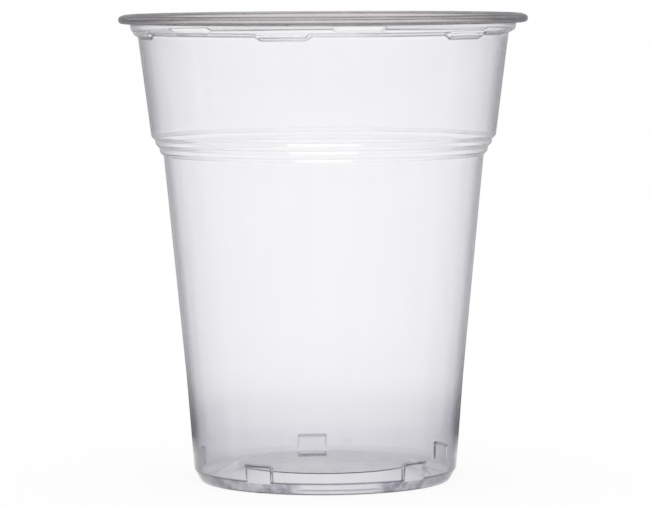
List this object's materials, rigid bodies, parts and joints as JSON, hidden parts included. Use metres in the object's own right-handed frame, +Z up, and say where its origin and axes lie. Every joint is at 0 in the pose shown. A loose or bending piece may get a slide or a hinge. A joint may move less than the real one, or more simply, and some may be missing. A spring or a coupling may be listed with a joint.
{
  "type": "plastic disposable cup",
  "caption": "Clear thin-walled tapered drinking cup with a rolled rim, a notched stacking shoulder, stepped ribs and a raised base with pressed-in lugs.",
  "frame": {"origin": "centre of the ring that the cup stands on, at the surface it stands on", "axes": "+Z up along the cup's axis, -Y towards the viewer of the picture, +X to the viewer's right"},
  "size_m": [0.0944, 0.0944, 0.108],
  "materials": {
    "clear_plastic": "clear and glossy, thin sheet with slight forming marks"
  },
  "bodies": {
    "root": {"cup": "clear_plastic"}
  },
  "joints": []
}
